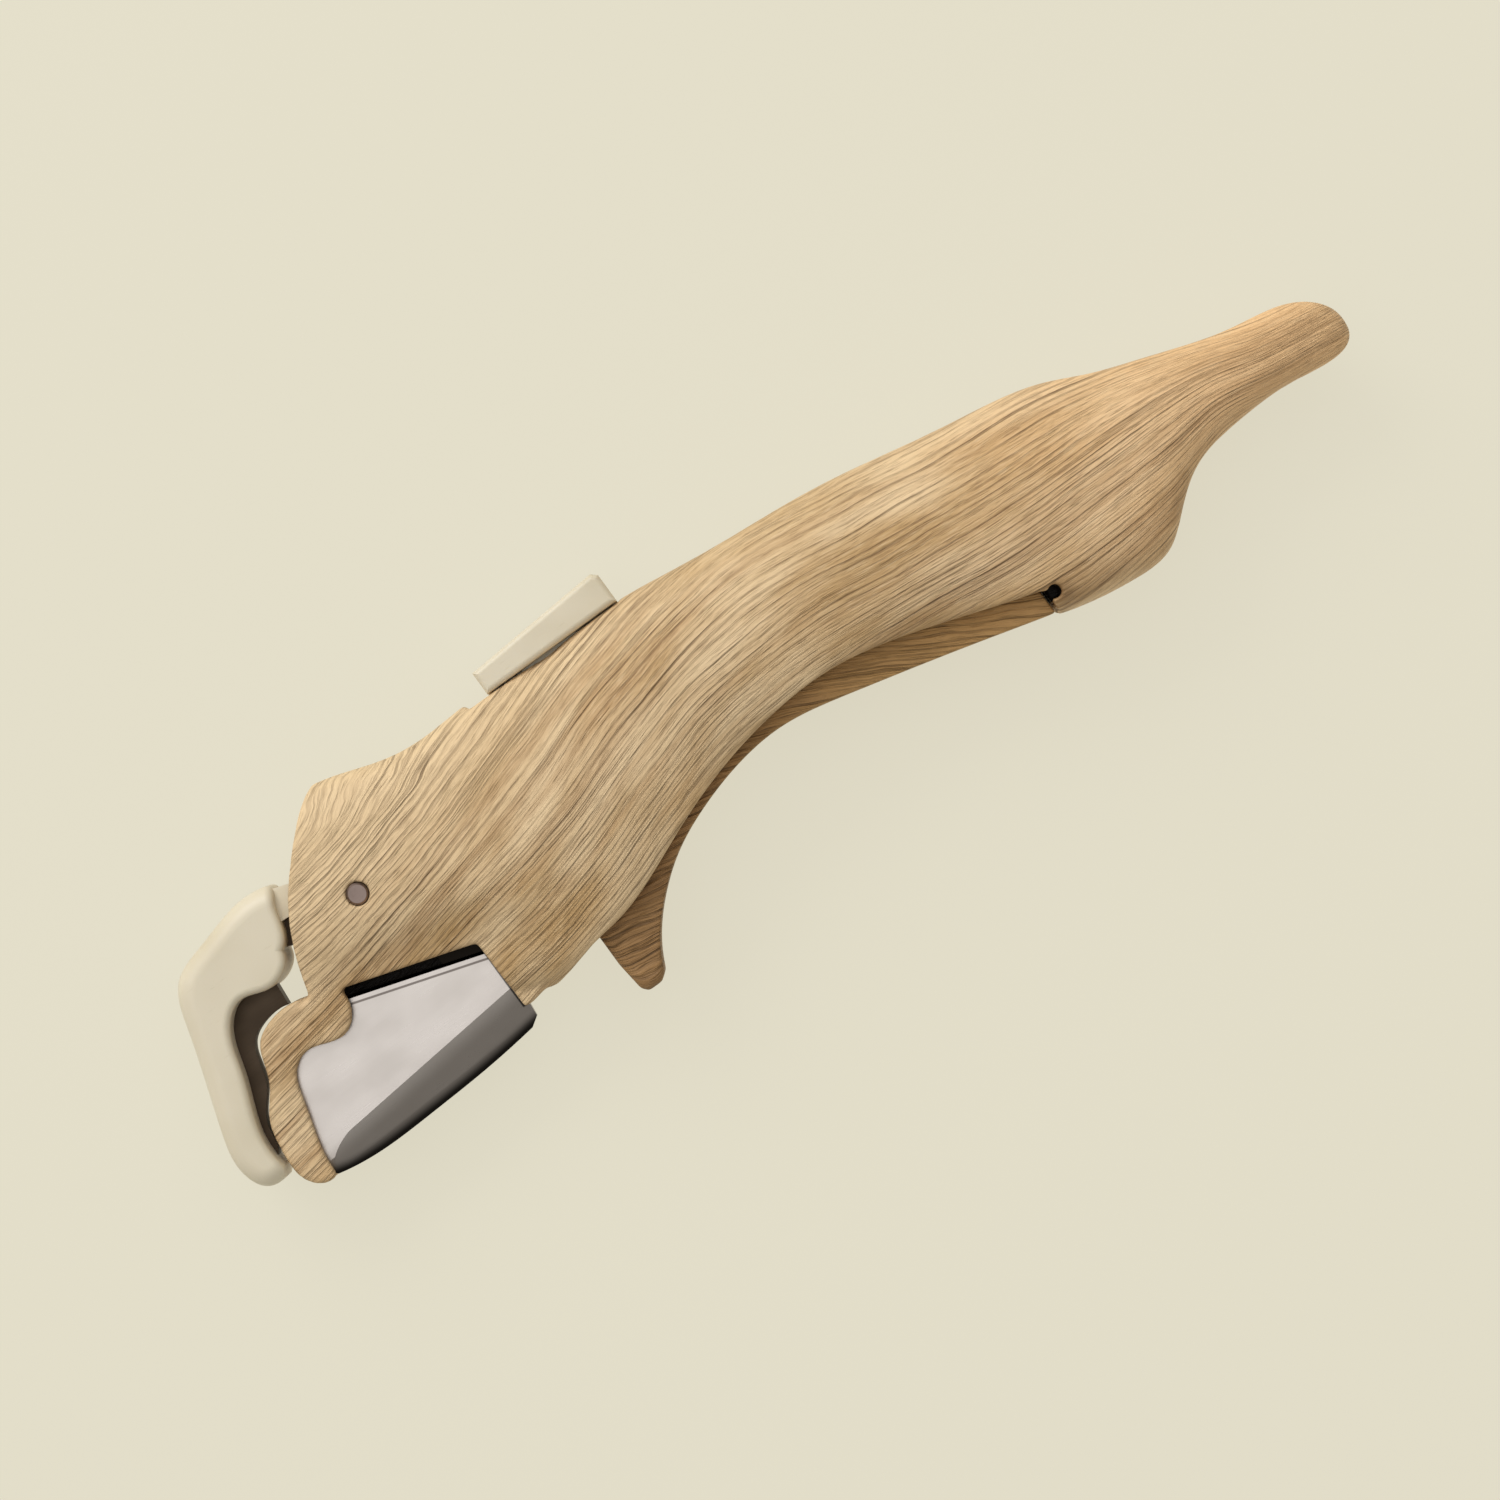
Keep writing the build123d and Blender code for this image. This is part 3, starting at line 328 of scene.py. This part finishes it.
def wood(
    name, light, middle, dark, streak, warmth_and_light_tone, warmth_and_light_span, relief_depth, lean=0.0, burl=0.0
):
    """Open-pored oak with grain along the handle, wilder at the head, and warmer and lighter at
    the tail, where the lightening is painted light.

    It warms and takes painted light over a span of x. The lean turns the grain, and the burl makes
    it waver more.
    """
    g = Graph(name)
    x, y, z = g.place()
    across = g.math("SUBTRACT", y, g.curve(x, GRAIN_LINE))
    across = g.total(g.product(across, g.curve(x, GRAIN_CROWDING)), g.product(x, lean))
    radius = ring_radius(g, x, y, z, across, burl)

    grown = (x, radius, z)
    fade = g.step(g.noise(grown, FADE_SIZE), *FADE_STEP, FADE_LEAST, 1.0)
    fade = g.product(fade, g.step(x, *TAIL_FADE, 1.0, TAIL_LEAST))
    crowd = g.scaled(g.noise(grown, CROWD_SIZE, 1.0), RING_CROWDING)
    ring = g.math("SINE", g.total(g.scaled(radius, 2 * math.pi / RING_PITCH), crowd))
    ring = g.product(g.step(ring, *RING_STEP), fade)
    line = g.product(g.step(g.noise(grown, LINE_SIZE, 1.0), *LINE_STEP), fade)
    pore = g.step(g.noise(grown, PORE_SIZE, 1.0), *PORE_STEP)
    band = g.step(g.noise(grown, BAND_SIZE, 1.5, 0.6), *BAND_STEP)
    fibre = g.noise(grown, FIBRE_SIZE, 2.0, 0.6)
    patch = g.noise((x, across, z), PATCH_SIZE)

    tone = g.mix(g.step(patch, *PATCH_STEP), light, middle)
    # Warmer over the span of x: a warmer hue, with painted light that lightens it.
    warmth_and_light = g.total(g.step(x, *warmth_and_light_span, 0.0, WARMTH_AND_LIGHT_SHARE), g.product(band, BAND_WARMTH))
    tone = g.mix(warmth_and_light, tone, warmth_and_light_tone)
    tone = g.mix(g.product(band, BAND_SHARE), tone, streak)
    # The upper band pales: partly a paler figure, partly painted light.
    tone = g.mix(g.step(across, *CREST_FIGURE_AND_LIGHT, 0.0, CREST_FIGURE_AND_LIGHT_SHARE), tone, light)
    for figure, share in ((ring, RING_SHARE), (line, LINE_SHARE), (pore, PORE_SHARE)):
        tone = g.mix(g.product(figure, share), tone, dark)
    tone = g.mix(g.step(fibre, *DARK_FIBRE_STEP, 0.0, FIBRE_SHARE), tone, dark)
    tone = g.mix(g.step(fibre, *LIGHT_FIBRE_STEP, 0.0, FIBRE_SHARE), tone, light)
    shade = g.blob(x, y, NOTCH_SHADE, (NOTCH_SHADE_REACH, NOTCH_SHADE_REACH))
    tone = g.mix(g.product(shade, NOTCH_SHADE_SHARE), tone, dark)
    # Black painted shadow inside the window and in the notch behind the lever.
    tone = g.mix(shadow_mask(g, x, y, z), tone, PAINTED_SHADOW)

    figures = (line, fibre, ring, band, pore)
    depths = (LINE_DEPTH, FIBRE_DEPTH, RING_DEPTH, BAND_DEPTH, PORE_DEPTH)
    relief = g.total(*[g.product(figure, -depth) for figure, depth in zip(figures, depths)])
    g.bump(relief, relief_depth)
    return g.finish(
        Base_Color=tone,
        Roughness=g.scaled(fibre, *WOOD_ROUGHNESS),
        Specular_IOR_Level=0.35,
    )


# ---------------------------------------------------------------- plastic and metal

CLOUD_SIZE = (14, 14, 14)
CLOUD_STEP = (0.35, 0.75)
CLOUD_SHARE = 0.5
SKIN_SIZE = (0.25, 0.25, 0.25)
SKIN_RELIEF = 0.5
SCUFF_SIZE = (3, 0.35, 3)
SCUFF_STEP = (0.64, 0.74)
SCUFF_SHARE = 0.35
SCUFF_RELIEF = -0.5
PLASTIC_DEPTH = 0.02
PLASTIC_ROUGHNESS = (0.12, 0.34)  # span, and where it starts


def plastic(name, base, shade):
    """Satin moulded plastic, a little translucent, with a fine skin and faint handling marks."""
    g = Graph(name)
    place = g.place()
    cloud = g.noise(place, CLOUD_SIZE)
    skin = g.noise(place, SKIN_SIZE)
    mark = g.step(g.noise(place, SCUFF_SIZE, 3.0, 0.6), *SCUFF_STEP)
    tone = g.mix(g.step(cloud, *CLOUD_STEP, 0.0, CLOUD_SHARE), base, shade)
    tone = g.mix(g.product(mark, SCUFF_SHARE), tone, shade)
    relief = g.total(g.product(skin, SKIN_RELIEF), g.product(mark, SCUFF_RELIEF))
    g.bump(relief, PLASTIC_DEPTH)
    return g.finish(
        Base_Color=tone,
        Roughness=g.scaled(cloud, *PLASTIC_ROUGHNESS),
        Specular_IOR_Level=0.45,
        Subsurface_Weight=0.12,
        Subsurface_Radius=(1.0, 0.9, 0.7),
        Subsurface_Scale=1.2 * MM,
    )


BRUSHED = (9, 0.05, 0.05)  # size of the grinding lines along x, y and z
BRUSHED_DEPTH = 0.003
TURNED = (0.3, 0.3, 0.3)
FORGED = (0.5, 0.5, 0.5)
ROUGH_DEPTH = 0.01
LINES_STEP = (0.5, 0.8)
LINES_SHARE = 0.3
LINES_ROUGHNESS = 0.12
METAL_CLOUD_SIZE = (9, 5, 5)
METAL_CLOUD_STEP = (0.3, 0.75)
METAL_CLOUD_SHARE = 0.5
METAL_CLOUD_ROUGHNESS = 0.08


def steel(name, base, shade, rough, lines_size=BRUSHED, depth=BRUSHED_DEPTH, painted_shading=None):
    """Metal with fine lines or specks. The painted shading, if given, paints shade and reflections
    into its tone by place.
    """
    g = Graph(name)
    x, y, z = g.place()
    lines = g.noise((x, y, z), lines_size, 3.0, 0.6)
    cloud = g.noise((x, y, z), METAL_CLOUD_SIZE)
    tone = g.mix(g.step(cloud, *METAL_CLOUD_STEP, 0.0, METAL_CLOUD_SHARE), base, shade)
    tone = g.mix(g.step(lines, *LINES_STEP, 0.0, LINES_SHARE), tone, shade)
    if painted_shading:
        tone = painted_shading(g, x, y, tone)
    g.bump(lines, depth)
    return g.finish(
        Base_Color=tone,
        Metallic=1.0,
        Roughness=g.total(
            g.scaled(lines, LINES_ROUGHNESS, rough - LINES_ROUGHNESS / 2),
            g.scaled(cloud, METAL_CLOUD_ROUGHNESS, -METAL_CLOUD_ROUGHNESS / 2),
        ),
    )


# Near black for painted shade on the blade's back and heel, and for a painted dark reflection
# along its edge.
SHADE_AND_REFLECTION_BLACK = colour(24, 21, 18)
BLADE_BACK = (-0.3174, -23.67)  # slope, and height at x = 0
BACK_CHAMFER = 0.47
BACK_SOFTNESS = 0.1
# A thin dark line of painted reflection below the blade's back.
REFLECTION_LINE_TONE = colour(92, 82, 76)
REFLECTION_LINE_DEPTH = 1.25  # below the back
REFLECTION_LINE_HALF = 0.22
REFLECTION_LINE_SHARE = 0.8
BEVEL_TOP = (0.0966, -8.97)  # slope, and height at x = 0
# The bevel is painted darker as a painted reflection.
BEVEL_REFLECTION_TONE = colour(92, 80, 68)
BEVEL_STEP = (-0.3, 2.5)
BEVEL_SHARE = 0.45
BLADE_EDGE = [
    (-86.5, -18.6), (-84.5, -20.6), (-78.0, -21.5), (-70.0, -21.4), (-60.0, -20.9), (-51.5, -20.0),
]
EDGE_STEP = (1.9, 0.3)  # heights above the edge between which the band darkens with a painted dark reflection
EDGE_REFLECTION_SHARE = 0.96
# A painted shadow line on the blade at the window's back edge.
WINDOW_BACK = -50.75
WINDOW_LINE = 0.15
WINDOW_SHADOW_SHARE = 0.85
BELLY_Y = -17.2
BELLY_SOFTNESS = 0.3


def blade_painted_shading(g, x, y, tone):
    """Painted shade and reflections: a black back with a dark line below it, a darker bevel, a
    dark edge, and a dark line at the heel.
    """
    # Painted darker reflection on the bevel.
    bevel = g.math("SUBTRACT", g.scaled(x, *BEVEL_TOP), y)
    tone = g.mix(g.step(bevel, *BEVEL_STEP, 0.0, BEVEL_SHARE), tone, BEVEL_REFLECTION_TONE)
    below = g.math("SUBTRACT", g.scaled(x, *BLADE_BACK), y)
    # Black painted shade on the back, seen in the gap above the blade.
    tone = g.mix(g.step(below, BACK_CHAMFER, BACK_CHAMFER - BACK_SOFTNESS), tone, SHADE_AND_REFLECTION_BLACK)
    # Painted dark reflection line below the back.
    reflection_line = g.math("ABSOLUTE", g.math("SUBTRACT", below, REFLECTION_LINE_DEPTH))
    tone = g.mix(g.step(reflection_line, REFLECTION_LINE_HALF, REFLECTION_LINE_HALF / 2, 0.0, REFLECTION_LINE_SHARE), tone, REFLECTION_LINE_TONE)
    # Painted dark reflection along the edge.
    above = g.math("SUBTRACT", y, g.curve(x, BLADE_EDGE))
    tone = g.mix(g.step(above, *EDGE_STEP, 0.0, EDGE_REFLECTION_SHARE), tone, SHADE_AND_REFLECTION_BLACK)
    # Painted shadow at the window's back edge.
    heel_shadow = g.product(
        g.step(x, WINDOW_BACK - WINDOW_LINE, WINDOW_BACK),
        g.step(y, BELLY_Y, BELLY_Y + BELLY_SOFTNESS),
        WINDOW_SHADOW_SHARE,
    )
    return g.mix(heel_shadow, tone, SHADE_AND_REFLECTION_BLACK)


# ---------------------------------------------------------------- finishes

FINISHES = {
    "wood": wood(
        "oak",
        light=colour(234, 206, 164),
        middle=colour(196, 160, 110),
        dark=colour(100, 68, 36),
        streak=colour(156, 116, 70),
        warmth_and_light_tone=colour(248, 202, 148),
        # painted light over the thin, low tail, which lies in less light
        warmth_and_light_span=(15.0, 90.0),
        relief_depth=0.2,
    ),
    "dark_wood": wood(
        "dark_oak",
        light=colour(176, 136, 88),
        middle=colour(142, 106, 64),
        dark=colour(54, 34, 20),
        streak=colour(100, 70, 40),
        warmth_and_light_tone=colour(208, 164, 104),
        # painted light over the lever's rear, which lies in the shell's shadow
        warmth_and_light_span=(-25.0, 20.0),
        relief_depth=0.25,
        lean=0.45,
        burl=1.0,
    ),
    "cream_plastic": plastic("cream_plastic", colour(225, 215, 192), colour(205, 193, 165)),
    # The blade's tone carries painted shade and painted reflections.
    "blade_steel": steel(
        "blade_steel", colour(209, 202, 197), colour(188, 181, 175), 0.30, painted_shading=blade_painted_shading
    ),
    "plate_steel": steel("plate_steel", colour(84, 72, 60), colour(50, 42, 34), 0.5),
    "pin_steel": steel(
        "pin_steel", colour(150, 133, 126), colour(112, 98, 91), 0.42, TURNED, ROUGH_DEPTH
    ),
    "screw_steel": steel(
        "screw_steel", colour(92, 90, 90), colour(60, 58, 58), 0.35, FORGED, ROUGH_DEPTH
    ),
    "spring_steel": steel("spring_steel", colour(190, 190, 192), colour(140, 140, 142), 0.22),
    "brass": steel("brass", colour(206, 170, 96), colour(160, 124, 64), 0.32),
}


def dress(piece, finish):
    """Gives a piece one material."""
    piece.data.materials.clear()
    piece.data.materials.append(FINISHES[finish])


NODE_FINISH = {
    "left_shell": "wood",
    "right_shell": "wood",
    "squeeze_lever": "dark_wood",
    "nose_guard": "cream_plastic",
    "thumb_slider": "cream_plastic",
    "slider_carriage": "cream_plastic",
    "blade": "blade_steel",
    "guard_arm": "plate_steel",
    "blade_carrier": "plate_steel",
    "lever_nose_plate": "plate_steel",
    "push_rod": "plate_steel",
    "slide_guide": "plate_steel",
    "guard_pivot_pin": "pin_steel",
    "lever_pivot_pin": "pin_steel",
    "blade_pivot_pin": "pin_steel",
    "locating_dowels": "pin_steel",
    "guard_pins": "pin_steel",
    "horn_pin": "pin_steel",
    "drive_pin": "pin_steel",
    "blade_rivets": "pin_steel",
    "lever_rivets": "pin_steel",
    "rod_rivets": "pin_steel",
    "shell_screws": "screw_steel",
    "slider_screws": "screw_steel",
    "detent_spring": "spring_steel",
    "lever_return_spring": "spring_steel",
    "guard_torsion_spring": "spring_steel",
    "threaded_inserts": "brass",
    "lever_bush": "brass",
    "guard_bush": "brass",
    "blade_bush": "brass",
}

# Voxel and share of the triangles for each CAD node that is worked over.
WORKED = {
    "left_shell": (0.32, 0.5),
    "right_shell": (0.32, 0.5),
    "squeeze_lever": (0.25, 0.6),
}

for name, finish in NODE_FINISH.items():
    dress(nodes[name], finish)
for name, (voxel, keep) in WORKED.items():
    dress(refined(name, voxel, keep), NODE_FINISH[name])

# ---------------------------------------------------------------- stage, camera and light

VIEW_TURN = math.radians(-36.0)
VIEW_CENTRE = Vector((-5.24, -6.81, MID_Z)) * MM
LENS = 90.0
SENSOR = 36.0
FRAME_WIDTH = 204.8 * MM
FLOOR_SIZE = 6.0
FLOOR_TONE = (0.12, 0.114, 0.092, 1.0)
FLOOR_LIGHT = colour(225, 220, 200)
FLOOR_GLOW = 0.88  # strength of the floor's own light
WORLD_LIGHT = colour(225, 222, 214)
WORLD_STRENGTH = 0.42

bpy.ops.mesh.primitive_plane_add(size=FLOOR_SIZE)
floor = bpy.context.object
floor.name = "studio_floor"
backdrop = Graph("studio_floor")
floor.data.materials.append(
    backdrop.finish(
        Base_Color=FLOOR_TONE,
        Roughness=0.9,
        Specular_IOR_Level=0.1,
        Emission_Color=FLOOR_LIGHT,
        Emission_Strength=FLOOR_GLOW,
    )
)

camera = bpy.data.objects.new("camera", bpy.data.cameras.new("camera"))
bpy.context.scene.collection.objects.link(camera)
camera.data.lens = LENS
camera.data.sensor_width = SENSOR
camera.rotation_euler = Euler((0.0, 0.0, VIEW_TURN))
camera.location = VIEW_CENTRE + Vector((0, 0, FRAME_WIDTH * LENS / SENSOR))
bpy.context.scene.camera = camera


def softbox(name, centre, width, depth, radiance, tint):
    """A rectangular area light that faces the knife and doesn't show in the picture."""
    light = bpy.data.lights.new(name, "AREA")
    light.shape = "RECTANGLE"
    light.size = width
    light.size_y = depth
    light.energy = radiance * math.pi * width * depth
    light.color = tint
    lamp = bpy.data.objects.new(name, light)
    bpy.context.scene.collection.objects.link(lamp)
    lamp.location = centre
    lamp.rotation_euler = Vector(centre).to_track_quat("Z", "Y").to_euler()
    lamp.visible_camera = False


WHITE = (1.0, 1.0, 1.0)
WARM_WHITE = (1.0, 0.985, 0.96)

# A wide ceiling that reaches further past the back than past the belly, and a key from the back.
softbox("ceiling", (0.0, 0.55, 1.25), width=2.4, depth=1.7, radiance=0.93, tint=WHITE)
softbox("key", (-0.12, 0.95, 0.62), width=0.7, depth=0.6, radiance=4.2, tint=WARM_WHITE)

world = bpy.data.worlds.new("studio")
world.use_nodes = True
background = world.node_tree.nodes["Background"]
background.inputs["Color"].default_value = WORLD_LIGHT
background.inputs["Strength"].default_value = WORLD_STRENGTH
bpy.context.scene.world = world
bpy.context.scene.view_settings.view_transform = "Standard"
